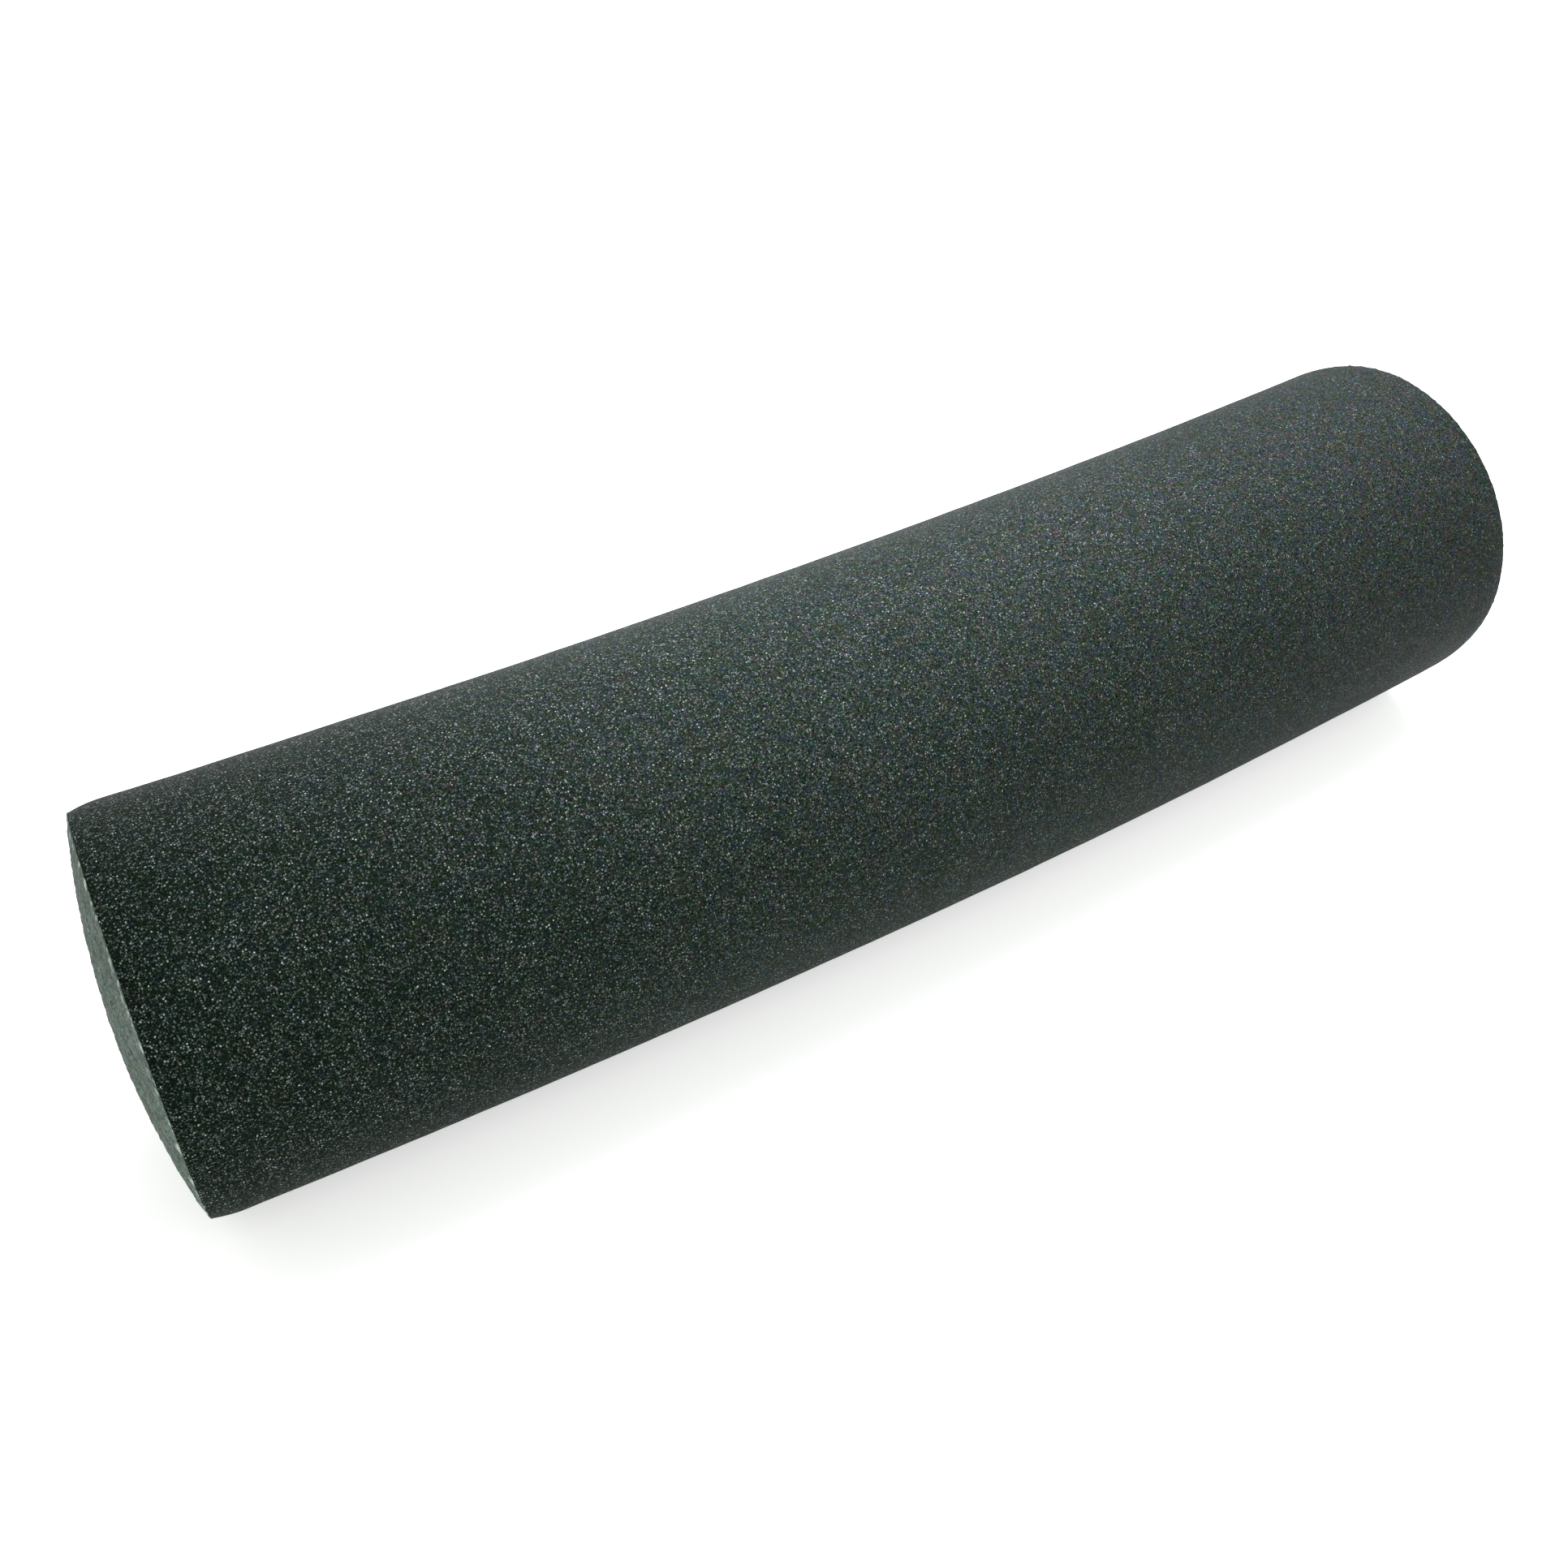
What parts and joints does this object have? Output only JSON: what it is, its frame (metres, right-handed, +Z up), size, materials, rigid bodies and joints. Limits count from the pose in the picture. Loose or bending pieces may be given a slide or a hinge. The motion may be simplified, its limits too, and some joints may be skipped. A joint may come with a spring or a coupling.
{
  "type": "foam roller",
  "caption": "Round foam massage roller, slightly bowed, with a wrapped fine-celled foam sleeve on a foam core and a domed foam disc on each end.",
  "frame": {"origin": "centre of the roller's bounding box, on the floor it lies on", "axes": "+X along the roller from the left end to the right end, +Z up from the floor, +Y towards the hollow side of the slight bow, so that the bulging side faces -Y"},
  "size_m": [0.6008, 0.1585, 0.15],
  "materials": {
    "sleeve_foam": "matte charcoal fine-celled foam with tiny glints and dark pores",
    "end_foam": "matte grey-green smoother foam",
    "core_foam": "matte pale grey closed-cell foam",
    "adhesive": "satin amber contact adhesive"
  },
  "bodies": {
    "root": {"outer_sleeve": "sleeve_foam", "end_disc_left": "end_foam", "end_disc_right": "end_foam", "core_rod": "core_foam", "core_glue_film": "adhesive", "seam_glue_strip": "adhesive", "end_glue_film_left": "adhesive", "end_glue_film_right": "adhesive"}
  },
  "joints": []
}
